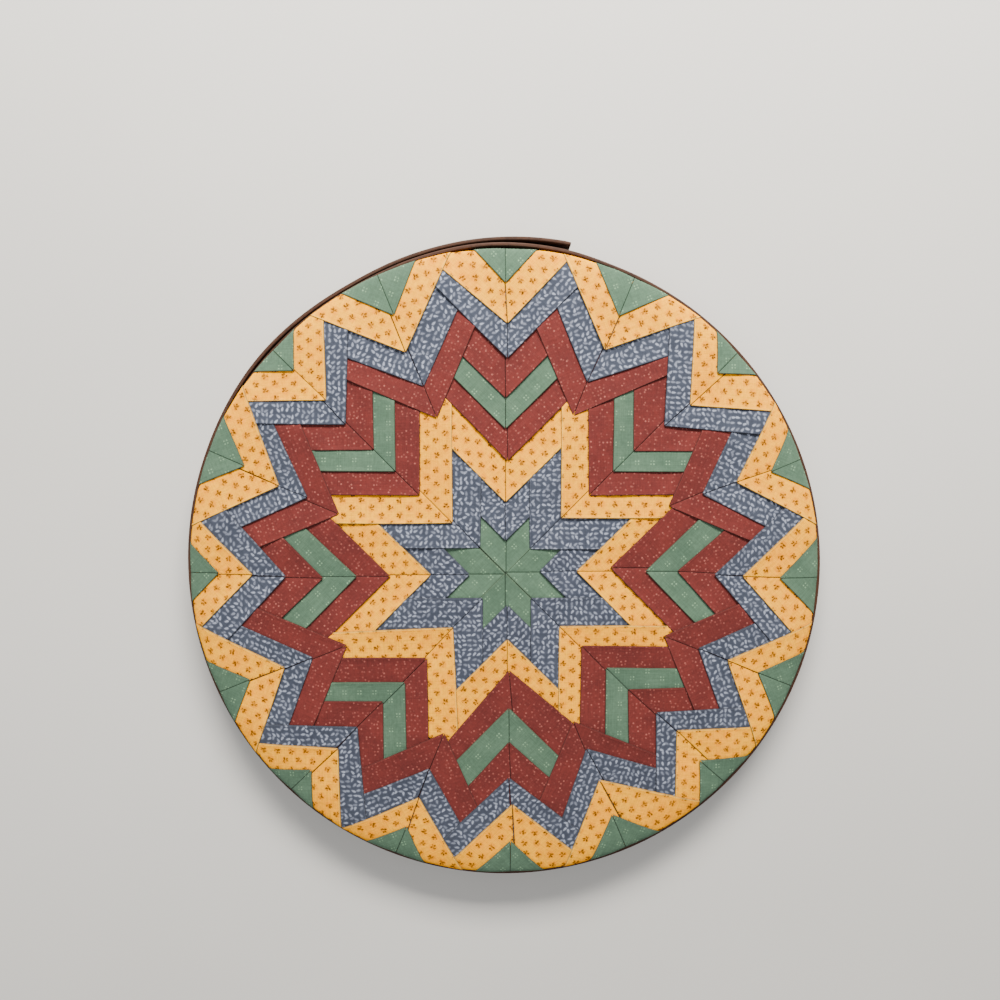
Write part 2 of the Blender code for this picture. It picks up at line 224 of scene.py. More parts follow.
# A patch, with its corner, axis and sideways direction on the flat face; and one half of it, from
# the seam to a folded edge
Patch = namedtuple(
    "Patch", "name node colour number apex axis side lift order cut reach leg spread",
)
Half = namedtuple("Half", "edge inward bow straight shift")


# Making meshes

def add_item(name, data):
    item = bpy.data.objects.new(name, data)
    bpy.context.scene.collection.objects.link(item)
    return item


def add_map(mesh, name, values):
    """A UV map, from one pair of values for each vertex."""
    corners = np.empty(len(mesh.loops), np.int32)
    mesh.loops.foreach_get("vertex_index", corners)
    layer = mesh.uv_layers.new(name=name)
    layer.data.foreach_set("uv", np.asarray(values, np.float32)[corners].ravel())


def add_mesh(name, points, faces, maps, material):
    """A smooth mesh in the row frame, with one UV map for each array in maps."""
    mesh = bpy.data.meshes.new(name)
    mesh.from_pydata([tuple(p) for p in points], [], faces)
    for map_name, values in maps.items():
        add_map(mesh, map_name, values)
    shape = bmesh.new()
    shape.from_mesh(mesh)
    bmesh.ops.remove_doubles(shape, verts=shape.verts, dist=1e-6)
    bmesh.ops.dissolve_degenerate(shape, edges=shape.edges, dist=1e-7)
    shape.to_mesh(mesh)
    shape.free()
    mesh.shade_smooth()
    mesh.materials.append(material)
    item = add_item(name, mesh)
    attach(item, "root")
    return item


def grid_faces(rows):
    """Quads between neighbouring rows of vertex numbers."""
    faces = []
    for low_row, high_row in zip(rows, rows[1:]):
        for i in range(len(low_row) - 1):
            faces.append((low_row[i], low_row[i + 1], high_row[i + 1], high_row[i]))
    return faces


# The star's layout

def unit(angle):
    return np.array((math.cos(angle), math.sin(angle)))


def kind_of(step):
    if step % 2:
        return "between"
    return "diagonal" if step % 4 else "cardinal"


def lies_over(number, step):
    rule = OVER.get(number)
    kind = kind_of(step)
    if rule == "main":
        return kind != "between"
    return kind == rule


def node_of(number, colour, step):
    if number in CHEVRON_ROUNDS:
        return f"round_{number}_{colour}_{step // 2 + 1}"
    if number == LAST_ROUND:
        return f"round_{number}_{colour}_{step + 1:02d}"
    return f"round_{number}_{colour}"


def make_patch(number, step, order):
    turn = TURNED_DEG.get(number, {}).get(step, 0.0) + random.gauss(0.0, UNEVEN_TURN_DEG)
    even = step * STEP_ANGLE
    angle = even + math.radians(turn)
    row = ROUNDS[number]
    out, aside = row.uneven_mm[step * len(row.uneven_mm) // STEPS]
    apex = STAR_OFFSET + unit(even) * (row.radius_mm + out) * MM
    apex = apex + unit(even + math.pi / 2) * aside * MM
    spread = 0.0
    if number in SPREAD_MM:
        spread = SPREAD_MM[number][step] / (SPREAD_AT * row.radius_mm)
    cut = LAST_CUT if number == LAST_ROUND else CUT
    return Patch(
        name=f"patch_{number}_{row.colour}_{step + 1:02d}",
        node=node_of(number, row.colour, step),
        colour=row.colour,
        number=number,
        apex=apex,
        axis=unit(angle),
        side=unit(angle + math.pi / 2),
        lift=OVER_LIFT if lies_over(number, step) else 0.0,
        order=order,
        cut=cut,
        reach=cut / 2,
        leg=cut / SQRT2,
        spread=spread,
    )


def lay_patches():
    """Every patch in the order of sewing, the ones that lie on top last."""
    patches = []
    for number, row in ROUNDS.items():
        stride = STEPS // len(row.uneven_mm)
        steps = sorted(range(0, STEPS, stride), key=lambda step: lies_over(number, step))
        for step in steps:
            patches.append(make_patch(number, step, len(patches)))
    return patches


def along_and_depth(patch, points):
    """Distance of points out along a patch's axis, and behind its nearer folded edge."""
    offset = points - patch.apex
    along = offset @ patch.axis
    across = np.abs(offset @ patch.side)
    square = (along - across) / SQRT2
    wider = patch.spread * np.maximum(along + across, 0.0) / SQRT2
    widened = (square + wider) / (1.0 + wider / SPREAD_DEPTH)
    return along, np.where(square < SPREAD_DEPTH, widened, square)


def own_height(patch, depth):
    fold_puff = PUFF * np.exp(-np.maximum(depth, 0.0) / PUFF_WIDTH)
    return CREST + patch.lift + fold_puff - SLOPE * depth


def press_under(patch, points, heights, patches):
    """Keeps a patch under every later one where they overlap."""
    kept = 1.0 - SIDE_PRESS * turned_share(np.linalg.norm(points, axis=1))
    for other in patches[patch.order + 1:]:
        along, depth = along_and_depth(other, points)
        inside = (depth > 0.0) & (along < other.reach)
        if not inside.any():
            continue
        share = np.clip(depth / CLEARANCE_DEPTH, 0.0, 1.0)
        gap = CLEARANCE + share * (FULL_CLEARANCE - CLEARANCE)
        limit = own_height(other, depth) - gap / kept
        heights = np.where(inside, np.minimum(heights, limit), heights)
    return heights


# The rim

ROLL_ROWS = 60


def roll_table():
    """Profile of the face by distance over the cloth: radius, height and outward normal."""
    rows = [(0.0, 0.0, FACE, 0.0, 1.0), (ROLL_START, ROLL_START, FACE, 0.0, 1.0)]
    length = ROLL_START
    previous = (ROLL_START, FACE)
    for i in range(1, ROLL_ROWS + 1):
        t = math.pi / 2 * i / ROLL_ROWS
        radius = ROLL_START + ROLL_WIDTH * math.sin(t)
        height = FACE - ROLL_DROP * (1.0 - math.cos(t))
        length += math.dist(previous, (radius, height))
        out = Vector((ROLL_DROP * math.sin(t), ROLL_WIDTH * math.cos(t))).normalized()
        rows.append((length, radius, height, out.x, out.y))
        previous = (radius, height)
    for point in RIM_POINTS:
        here = (point.radius_mm * MM, point.level_mm * MM)
        length += math.dist(previous, here)
        rows.append((length, *here, point.out, point.up))
        previous = here
    drop = previous[1] - CLOTH_END
    rows.append((length + drop, RIM_RADIUS, CLOTH_END, 1.0, 0.0))
    rows.append((length + drop + BEYOND_END, RIM_RADIUS, CLOTH_END - BEYOND_END, 1.0, 0.0))
    return np.array(rows)


ROLL = roll_table()
ROLL_END = ROLL[-3][0]
TRIM_RADIUS = ROLL[-2][0]
PUCKERS = [
    (n, random.uniform(0.0, math.tau), random.uniform(*PUCKER_SIZES)) for n in PUCKER_WAVES
]


def turned_share(length):
    """How far the cloth has rolled over the rim, from 0 on the face to 1 behind the band."""
    return np.clip((length - ROLL_START) / (ROLL_END - ROLL_START), 0.0, 1.0)


def wrap(points, heights):
    """Flat cloth laid over the face and rolled down over the rim."""
    length = np.linalg.norm(points, axis=1)
    angle = np.arctan2(points[:, 1], points[:, 0])
    radius, level, out_r, out_z = (np.interp(length, ROLL[:, 0], ROLL[:, i]) for i in range(1, 5))
    turned = turned_share(length)
    pucker = sum(size * np.sin(n * angle + phase) for n, phase, size in PUCKERS)
    heights = heights * (1.0 - SIDE_PRESS * turned) + PUCKER_HEIGHT * turned * pucker
    under = np.clip((length - BEND_START) / (BEND_END - BEND_START), 0.0, 1.0) * (heights < 0.0)
    out_r = out_r + under * (STEP_BACK_OUT - out_r)
    out_z = out_z + under * (STEP_BACK_UP - out_z)
    drawn = 0.5 + 0.5 * np.cos(angle - math.radians(DRAWN_IN_MIDDLE_DEG))
    bulge = -DRAWN_IN * drawn ** 2
    for place in BULGES:
        away = (np.degrees(angle) - place.middle_deg) / place.spread_deg
        bulge = bulge + place.out_mm * MM * np.exp(-away ** 2 / 2)
    radius = radius + out_r * heights + bulge * turned ** 2
    level = level + out_z * heights
    return np.column_stack((radius * np.cos(angle), radius * np.sin(angle), level))


# One patch

# Rows are cut off and set out by looking at this many places along them
FINE = 160
FINE_TO_EDGE = 200

# Vertices crowd together round this distance over the cloth, where it rolls over the rim
CROWD_AT = 180.0 * MM
CROWD_WIDTH = 3.5 * MM
CROWD = 3.0

# Vertices along a row on the upper and on the hidden side, on the face and over the rim
FACE_COLUMNS = (26, 8)
RIM_COLUMNS = (52, 20)

# Least lengths and gaps of the rows, and the depth that a trimmed patch has at least
SHORTEST_ROW = 0.2 * MM
SHORTEST_DEEP_ROW = 1.0 * MM
LEAST_DEPTH = 2.0 * MM
ROW_GAP = 0.5 * MM
EDGE_GAP = 0.6 * MM


def row_points(patch, half, depth, along):
    return patch.apex + np.outer(along, half.edge) + depth * half.inward


def stations(start, stop, patch, half, depth, count):
    """Places along a row at one depth, closer together where the cloth rolls over the rim."""
    if patch.number < FIRST_RIM_ROUND:
        return np.linspace(start, stop, count)
    fine = np.linspace(start, stop, FINE)
    distance = np.linalg.norm(row_points(patch, half, depth, fine), axis=1)
    density = 1.0 + CROWD * np.exp(-((distance - CROWD_AT) / CROWD_WIDTH) ** 2)
    total = np.concatenate(((0.0,), np.cumsum((density[1:] + density[:-1]) / 2)))
    return np.interp(np.linspace(0.0, total[-1], count), total, fine)


def row_end(patch, half, depth):
    """Where a row meets the cut edge of the square, or is trimmed behind the band."""
    stop = patch.leg - depth
    if patch.number < FIRST_RIM_ROUND:
        return stop
    fine = np.linspace(depth, stop, FINE_TO_EDGE)
    distance = np.linalg.norm(row_points(patch, half, depth, fine), axis=1)
    beyond = np.nonzero(distance > TRIM_RADIUS)[0]
    return stop if len(beyond) == 0 else float(fine[beyond[0]])


# Angles round a fold, and depths in mm of the rows behind it on the upper and the lower side
ARC = [math.radians(a) for a in (-90, -50, -10, 22, 46, 68, 90)]
FRONT_DEPTHS = (
    1.4, 1.9, 2.7, 4.0, 6.0, 8.0, 10.0, 12.0, 14.0, 16.0, 18.5, 21.5, 25.0, 29.0, 33.5, 38.0,
)
BACK_DEPTHS = (38.0, 30.0, 22.0, 14.0, 7.0, 2.5)

# Distances over the cloth, in mm, at which the seams of the last round need rows of their own
RIM_ROWS = (172.0, 174.5, 176.5, 177.7, 178.5, 179.1, 179.6, 180.1, 180.7, 181.4, 182.4)


class Sheet:
    """Gathers the vertices of one patch as flat places and heights, with their two maps."""

    def __init__(self):
        self.flat = []
        self.lift = []
        self.cloth = []
        self.fold = []
        self.faces = []
        self.count = 0

    def row(self, patch, half, depth, along, heights):
        """One row of vertices at a depth behind the folded edge, and their numbers."""
        bow = half.bow * np.sin(np.pi * np.clip(along / patch.leg, 0.0, 1.0))
        bow = bow * max(0.0, 1.0 - depth / BOW_DEPTH)
        wider = patch.spread * along * max(0.0, 1.0 - depth / SPREAD_DEPTH)
        inward = np.outer(depth + bow - wider, half.inward)
        self.flat.append(patch.apex + np.outer(along, half.edge) + inward)
        self.lift.append(np.broadcast_to(heights, along.shape).astype(float))
        depths = np.full(len(along), depth)
        straight = (along, depths) if half.straight else (depths, along)
        self.cloth.append(np.column_stack(straight) + half.shift)
        self.fold.append(np.column_stack((along, depths)))
        first = self.count
        self.count += len(along)
        return list(range(first, self.count))


def last_depth(patch, half):
    """Deepest row that still has some length, for a patch trimmed at the rim."""
    depth = patch.leg / 2 - EDGE_GAP
    while depth > LEAST_DEPTH and row_end(patch, half, depth) - depth < SHORTEST_DEEP_ROW:
        depth -= ROW_GAP
    return depth


def front_depths(patch, deepest):
    """Depths of the rows on a patch's upper side, closer together where its seam meets the rim."""
    depths = [depth * MM for depth in FRONT_DEPTHS]
    if patch.number == LAST_ROUND:
        start = float(patch.apex @ patch.axis)
        close = [(distance * MM - start) / SQRT2 for distance in RIM_ROWS]
        low, high = close[0] - EDGE_GAP, close[-1] + EDGE_GAP
        depths = sorted([depth for depth in depths if not low < depth < high] + close)
    return [FOLD_WIDTH] + [depth for depth in depths if depth < deepest - ROW_GAP] + [deepest]


def build_half(sheet, patch, half, columns, hidden_columns):
    """The plies on one side of a patch's seam, joined round its folded edge and at the seam."""

    def lay(depth, start, count, height):
        """A row from its start to the edge of the cloth."""
        stop = max(row_end(patch, half, depth), start + SHORTEST_ROW)
        along = stations(start, stop, patch, half, depth, count)
        return sheet.row(patch, half, depth, along, height)

    deepest = last_depth(patch, half)
    back = [d * MM for d in BACK_DEPTHS if d * MM < deepest - ROW_GAP]
    outer_rows = []
    inner_rows = []
    seam_rows = []
    for depth in front_depths(patch, deepest):
        outer_rows.append(lay(depth, depth + SEAM_SETBACK, columns, 0.0))
        inner_rows.append(lay(depth, depth + SEAM_SETBACK, hidden_columns, INNER_FLAP))
        arc_at = []
        arc_height = []
        for turn in ARC[1:-1]:
            arc_at.append(depth + SQRT2 * (SEAM_GAP + SEAM_RADIUS * (1.0 - math.cos(turn))))
            arc_height.append(SEAM_RADIUS * (math.sin(turn) - 1.0))
        arc = sheet.row(patch, half, depth, np.array(arc_at), np.array(arc_height))
        seam_rows.append([inner_rows[-1][0], *arc, outer_rows[-1][0]])
    sheet.faces += grid_faces(outer_rows) + grid_faces(inner_rows) + grid_faces(seam_rows)

    for rows, width, radius, top, count in (
        (outer_rows, FOLD_WIDTH, FOLD_RADIUS, 0.0, columns),
        (inner_rows, INNER_FOLD_RADIUS, INNER_FOLD_RADIUS, INNER_FLAP, hidden_columns),
    ):
        under = [lay(depth, depth, count, top - 2 * radius) for depth in [deepest] + back]
        for turn in ARC[:-1]:
            depth = FOLD_WIDTH - width * math.cos(turn)
            height = top + radius * (math.sin(turn) - 1.0)
            under.append(lay(depth, depth + SEAM_SETBACK, count, height))
        under.append(rows[0])
        sheet.faces += grid_faces(under)


def build_patch(patch, patches, material):
    sheet = Sheet()
    columns = FACE_COLUMNS if patch.number < FIRST_RIM_ROUND else RIM_COLUMNS
    for side in (1, -1):
        edge = (patch.axis + side * patch.side) / SQRT2
        inward = (patch.axis - side * patch.side) / SQRT2
        shift = np.array((random.uniform(0.0, CLOTH_LENGTH), random.uniform(0.0, CLOTH_LENGTH)))
        bow = random.gauss(0.0, UNEVEN_BOW_MM) * MM
        half = Half(edge, inward, bow, side > 0, shift)
        build_half(sheet, patch, half, *columns)
    flat = np.concatenate(sheet.flat)
    lift = np.concatenate(sheet.lift)
    _, depth = along_and_depth(patch, flat)
    heights = own_height(patch, np.maximum(depth, 0.0))
    waves = np.zeros(len(flat))
    for _ in range(WAVES):
        direction = unit(random.uniform(0.0, math.tau)) / (random.uniform(*WAVE_LENGTHS_MM) * MM)
        waves += np.sin(math.tau * flat @ direction + random.uniform(0.0, math.tau))
    heights = heights + WAVE_HEIGHT * waves
    heights = press_under(patch, flat, heights, patches)
    points = wrap(flat, heights + lift) + np.array(CENTRE)
    maps = {"cloth": np.concatenate(sheet.cloth), "fold": np.concatenate(sheet.fold)}
    item = add_mesh(patch.name, points, sheet.faces, maps, material)
    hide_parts(patch.node)


# Materials

class Graph:
    """Short words for building a material's nodes."""

    def __init__(self, name):
        self.material = bpy.data.materials.new(name)
        self.material.use_nodes = True
        self.tree = self.material.node_tree
        self.shader = self.tree.nodes["Principled BSDF"]

    def feed(self, socket, value):
        if isinstance(value, bpy.types.NodeSocket):
            self.tree.links.new(value, socket)
        else:
            socket.default_value = value

    def node(self, kind, inputs=None, **settings):
        made = self.tree.nodes.new(kind)
        for key, value in settings.items():
            setattr(made, key, value)
        for key, value in (inputs or {}).items():
            self.feed(made.inputs[key], value)
        return made

    def math(self, operation, *values):
        return self.node("ShaderNodeMath", dict(enumerate(values)), operation=operation).outputs[0]

    def ramp(self, value, low, high, start=0.0, stop=1.0):
        """Goes smoothly from start, at low, to stop, at high."""
        inputs = {
            "Value": value, "From Min": low, "From Max": high, "To Min": start, "To Max": stop,
        }
        made = self.node("ShaderNodeMapRange", inputs, interpolation_type="SMOOTHSTEP")
        return made.outputs["Result"]

    def mix(self, share, first, second, blend="MIX"):
        made = self.node("ShaderNodeMix", data_type="RGBA", blend_type=blend)
        self.feed(made.inputs[0], share)
        self.feed(made.inputs[6], first)
        self.feed(made.inputs[7], second)
        return made.outputs[2]

    def shaded(self, colour, factor):
        """A colour made darker or lighter by a factor."""
        return self.mix(1.0, colour, self.join(factor, factor, factor), "MULTIPLY")

    def noise(self, vector, scale, detail=2.0, roughness=0.5):
        inputs = {"Vector": vector, "Scale": scale, "Detail": detail, "Roughness": roughness}
        return self.node("ShaderNodeTexNoise", inputs).outputs["Fac"]

    def stretched(self, vector, along, across):
        factors = (along, across, 1.0)
        made = self.node("ShaderNodeVectorMath", {0: vector, 1: factors}, operation="MULTIPLY")
        return made.outputs[0]

    def uv_mm(self, map_name):
        """A UV map in millimetres, as a vector and its two parts."""
        source = self.node("ShaderNodeUVMap", uv_map=map_name).outputs["UV"]
        inputs = {0: source, 3: 1.0 / MM}
        scaled = self.node("ShaderNodeVectorMath", inputs, operation="SCALE").outputs[0]
        parts = self.node("ShaderNodeSeparateXYZ", {0: scaled})
        return scaled, parts.outputs[0], parts.outputs[1]

    def join(self, x, y, z=0.0):
        return self.node("ShaderNodeCombineXYZ", {0: x, 1: y, 2: z}).outputs[0]

    def bump(self, height, distance, strength, normal=None):
        inputs = {"Height": height, "Distance": distance, "Strength": strength}
        if normal is not None:
            inputs["Normal"] = normal
        return self.node("ShaderNodeBump", inputs).outputs["Normal"]

    def surface(self, inputs):
        """Feeds the shader and gives the finished material."""
        for name, value in inputs.items():
            self.feed(self.shader.inputs[name], value)
        return self.material


def rgb(red, green, blue):
    """Linear colour from the everyday 0 to 255 scale."""
    parts = []
    for level in (red, green, blue):
        level = level / 255
        parts.append(level / 12.92 if level <= 0.04045 else ((level + 0.055) / 1.055) ** 2.4)
    return (*parts, 1.0)


def rotated(graph, x, y, angle):
    """Coordinates turned by an angle, a number in radians or a socket."""
    cosine = graph.math("COSINE", angle)
    sine = graph.math("SINE", angle)
    x_part = graph.math("MULTIPLY", x, cosine)
    y_part = graph.math("MULTIPLY", y, cosine)
    new_x = graph.math("ADD", x_part, graph.math("MULTIPLY", y, sine))
    new_y = graph.math("SUBTRACT", y_part, graph.math("MULTIPLY", x, sine))
    return new_x, new_y


def blot(graph, x, y, half_length, half_width, soft, taper=0.0):
    """Oval or teardrop spot round the middle of the coordinates."""
    run = graph.math("DIVIDE", x, half_length)
    width = graph.math("MULTIPLY_ADD", run, -taper * half_width, half_width)
    rise = graph.math("DIVIDE", y, width)
    away = graph.math("ADD", graph.math("MULTIPLY", run, run), graph.math("MULTIPLY", rise, rise))
    return graph.ramp(away, 1.0 + soft, 1.0 - soft)


def repeat(graph, x, y, pitch_x, pitch_y):
    """Half-drop repeat: coordinates within the cell, and a random number for each cell."""
    column_at = graph.math("DIVIDE", x, pitch_x)
    column = graph.math("FLOOR", column_at)
    drop = graph.math("MULTIPLY", graph.math("FLOORED_MODULO", column, 2.0), 0.5)
    row_at = graph.math("ADD", graph.math("DIVIDE", y, pitch_y), drop)
    row = graph.math("FLOOR", row_at)
    chance = graph.node("ShaderNodeTexWhiteNoise", {"Vector": graph.join(column, row)})
    inside_x = graph.math("SUBTRACT", graph.math("FRACT", column_at), 0.5)
    inside_y = graph.math("SUBTRACT", graph.math("FRACT", row_at), 0.5)
    cell_x = graph.math("MULTIPLY", inside_x, pitch_x)
    cell_y = graph.math("MULTIPLY", inside_y, pitch_y)
    return cell_x, cell_y, chance.outputs["Value"]


def scattered(graph, vector, pitch, loose):
    """Scattered cells: coordinates from each cell's middle, and its random colour."""
    inputs = {"Vector": vector, "Scale": 1.0 / pitch, "Randomness": loose}
    cells = graph.node("ShaderNodeTexVoronoi", inputs, voronoi_dimensions="2D", feature="F1")
    inputs = {0: vector, 1: cells.outputs["Position"]}
    away = graph.node("ShaderNodeVectorMath", inputs, operation="SUBTRACT")
    parts = graph.node("ShaderNodeSeparateXYZ", {0: away.outputs[0]})
    chance = graph.node("ShaderNodeSeparateColor", {0: cells.outputs["Color"]})
    return parts.outputs[0], parts.outputs[1], chance.outputs


def green_print(graph, vector, x, y):
    """Groups of four small pale dots."""
    cell_x, cell_y, _ = repeat(graph, x, y, 8.6, 8.6)
    near_x = graph.math("SUBTRACT", graph.math("ABSOLUTE", cell_x), 0.82)
    near_y = graph.math("SUBTRACT", graph.math("ABSOLUTE", cell_y), 0.82)
    dots = blot(graph, near_x, near_y, 0.44, 0.44, soft=0.5)
    worn = graph.ramp(graph.noise(vector, 0.45), 0.3, 0.62, 0.3, 0.85)
    return graph.math("MULTIPLY", dots, worn), 0.0


def blue_print(graph, vector, x, y):
    """Small pale teardrop leaves, leaning one way or the other."""
    cell_x, cell_y, chance = scattered(graph, vector, 2.85, 0.55)
    turn = graph.math("MULTIPLY_ADD", chance[0], 2.5, 0.3)
    leaf_x, leaf_y = rotated(graph, cell_x, cell_y, turn)
    leaves = blot(graph, leaf_x, leaf_y, 1.2, 0.54, taper=0.4, soft=0.65)
    tone = graph.ramp(chance[2], 0.0, 1.0, 0.35, 1.0)
    stain = graph.math("MULTIPLY", blot(graph, leaf_x, leaf_y, 1.6, 0.95, soft=0.7), 0.5)
    return graph.math("MULTIPLY", leaves, tone), stain


def yellow_print(graph, vector, x, y):
    """Small brown sprigs of broad leaves on a curved stem, turned this way and that."""
    cell_x, cell_y, chance = repeat(graph, x, y, 5.4, 8.2)
    turn = graph.math("MULTIPLY", graph.math("SUBTRACT", chance, 0.5), 5.2)
    sprig_x, sprig_y = rotated(graph, cell_x, cell_y, turn)
    bent = graph.math("MULTIPLY_ADD", graph.math("MULTIPLY", sprig_y, sprig_y), 0.2, sprig_x)
    total = blot(graph, graph.math("SUBTRACT", sprig_y, -0.3), bent, 1.6, 0.26, soft=0.5)
    for at_x, at_y, angle, length, width in (
        (0.72, 0.35, 0.45, 0.98, 0.6),
        (-0.95, 0.85, 2.2, 0.92, 0.56),
        (-0.1, 1.5, 1.35, 0.72, 0.5),
        (-0.9, -0.75, -2.7, 0.72, 0.4),
    ):
        from_x = graph.math("SUBTRACT", sprig_x, at_x)
        from_y = graph.math("SUBTRACT", sprig_y, at_y)
        leaf_x, leaf_y = rotated(graph, from_x, from_y, angle)
        total = graph.math("MAXIMUM", total, blot(graph, leaf_x, leaf_y, length, width, soft=0.75))
    broken = graph.ramp(graph.noise(vector, 0.9), 0.32, 0.6, 0.25, 1.0)
    halo = graph.math("MULTIPLY", blot(graph, sprig_x, sprig_y, 2.1, 2.3, soft=0.7), 0.4)
    return graph.math("MULTIPLY", total, broken), halo


def red_print(graph, vector, x, y):
    """Loose clusters of tiny pale dots."""
    cell_x, cell_y, chance = scattered(graph, vector, 2.3, 0.85)
    dots = blot(graph, cell_x, cell_y, 0.5, 0.5, soft=0.9)
    shown = graph.ramp(graph.noise(vector, 0.25, 1.0), 0.42, 0.56, 0.15, 1.0)
    some = graph.math("GREATER_THAN", chance[0], 0.3)
    faint = graph.ramp(chance[1], 0.0, 1.0, 0.22, 0.6)
    gathered = graph.math("MULTIPLY", shown, some)
    return graph.math("MULTIPLY", graph.math("MULTIPLY", dots, faint), gathered), 0.0


# One printed cotton: its colours, how much it shines, how pale its folds are worn and lit with a
# painted highlight, the colour of the painted shade under its folds and in its seams, and its
# print
Dye = namedtuple("Dye", "ground shade ink halo worn worn_share crease sheen gloss drawing")

# How far apart the threads lie in the calico and in the muslin
THREAD_PITCH_MM = 0.42
MUSLIN_PITCH_MM = 0.5


def streaks(graph, vector, along, across, scale):
    """Uneven threads: noise drawn out along each direction of the cloth in turn."""
    warp = graph.noise(graph.stretched(vector, along, across), scale, 1.0)
    weft = graph.noise(graph.stretched(vector, across, along), scale, 1.0)
    return graph.math("ADD", warp, weft)


def plain_weave(graph, x, y, pitch_mm):
    """Threads that cross over and under each other, from 0 to 1."""
    rate = math.tau / pitch_mm
    warp = graph.math("SINE", graph.math("MULTIPLY", x, rate))
    weft = graph.math("SINE", graph.math("MULTIPLY", y, rate))
    return graph.math("MULTIPLY_ADD", graph.math("MULTIPLY", warp, weft), 0.5, 0.5)


def calico(name, dye):
    """Printed cotton: uneven ground colour, a small print, a plain weave with painted shade in its
    hollows, and worn folds with a painted highlight and painted shade under them and in the seams.
    """
    graph = Graph(name)
    vector, x, y = graph.uv_mm("cloth")
    _, along, depth = graph.uv_mm("fold")
    cloudy = graph.ramp(graph.noise(vector, 0.055, 3.0, 0.6), 0.32, 0.68)
    colour = graph.mix(cloudy, dye.ground, dye.shade)
    mask, halo = dye.drawing(graph, vector, x, y)
    colour = graph.mix(halo, colour, dye.halo)
    colour = graph.mix(mask, colour, dye.ink)

    threads = streaks(graph, vector, 0.06, 1.9, 1.3)
    threads = graph.math("ADD", threads, graph.noise(vector, 0.6))
    colour = graph.shaded(colour, graph.ramp(threads, 1.1, 1.9, 0.84, 1.14))
    weave = plain_weave(graph, x, y, THREAD_PITCH_MM)
    # Painted shade in the weave's hollows and a painted highlight on its raised crossings, from
    # the same heights as its bump
    colour = graph.shaded(colour, graph.ramp(weave, 0.0, 1.0, 0.9, 1.04))

    # Worn pale at the folded edge, partly as a painted highlight; painted shade where the cloth
    # turns under there and into the seam
    worn = graph.ramp(depth, 1.1, 0.5, 0.0, dye.worn_share)
    colour = graph.mix(worn, colour, dye.worn)
    # Painted shade: darker where the cloth turns under at its folded edge and where it dips into
    # the seam
    under = graph.ramp(depth, 0.65, 0.2, 0.0, 0.7)
    seam = graph.ramp(graph.math("SUBTRACT", along, depth), 0.62, 0.2, 0.0, 0.65)
    colour = graph.mix(graph.math("MAXIMUM", under, seam), colour, dye.crease)

    soft = graph.bump(graph.noise(vector, 0.16), 0.0004, 0.5)
    return graph.surface({
        "Base Color": colour,
        "Roughness": graph.ramp(graph.noise(vector, 0.3), 0.3, 0.7, 0.78, 0.92),
        "Sheen Weight": dye.sheen,
        "Sheen Roughness": 0.5,
        "Specular IOR Level": dye.gloss,
        "Normal": graph.bump(weave, 0.00006, 0.6, soft),
    })


# The worn colours lighten each cloth's folded edges, partly as a painted highlight, and the dark
# fold colours are painted shade under the folds and in the seams
DYES = {
    "green": Dye(
        ground=rgb(81, 106, 85), shade=rgb(73, 97, 78),
        ink=rgb(122, 154, 120), halo=rgb(77, 101, 81), worn=rgb(108, 118, 88),
        worn_share=0.15, crease=rgb(34, 44, 35), sheen=0.03, gloss=0.15, drawing=green_print,
    ),
    "blue": Dye(
        ground=rgb(62, 67, 79), shade=rgb(56, 61, 73),
        ink=rgb(146, 152, 168), halo=rgb(88, 92, 106), worn=rgb(100, 105, 116),
        worn_share=0.15, crease=rgb(30, 31, 38), sheen=0.03, gloss=0.15, drawing=blue_print,
    ),
    "yellow": Dye(
        ground=rgb(254, 174, 4), shade=rgb(251, 163, 2),
        ink=rgb(84, 50, 16), halo=rgb(228, 124, 4), worn=rgb(254, 206, 96),
        worn_share=0.4, crease=rgb(86, 66, 42), sheen=0.0, gloss=0.0, drawing=yellow_print,
    ),
    "red": Dye(
        ground=rgb(103, 41, 37), shade=rgb(93, 37, 34),
        ink=rgb(180, 104, 92), halo=rgb(98, 39, 36), worn=rgb(118, 60, 52),
        worn_share=0.15, crease=rgb(44, 20, 18), sheen=0.02, gloss=0.15, drawing=red_print,
    ),
}


def muslin():
    """Unbleached cotton with uneven threads and a few dark flecks."""
    graph = Graph("foundation_muslin")
    vector, x, y = graph.uv_mm("cloth")
    blotch = graph.ramp(graph.noise(vector, 0.02, 3.0), 0.3, 0.7)
    colour = graph.mix(blotch, rgb(204, 192, 168), rgb(188, 174, 147))
    threads = streaks(graph, vector, 0.05, 1.6, 1.2)
    colour = graph.shaded(colour, graph.ramp(threads, 0.75, 1.25, 0.88, 1.08))
    fleck = graph.ramp(graph.noise(vector, 1.1, 1.0), 0.73, 0.78, 0.0, 0.5)
    weave = plain_weave(graph, x, y, MUSLIN_PITCH_MM)
    soft = graph.bump(graph.noise(vector, 0.12), 0.0005, 0.5)
    return graph.surface({
        "Base Color": graph.mix(fleck, colour, rgb(140, 112, 74)),
        "Roughness": graph.ramp(blotch, 0.0, 1.0, 0.84, 0.94),
        "Sheen Weight": 0.1,
        "Normal": graph.bump(weave, 0.00008, 0.7, soft),
    })


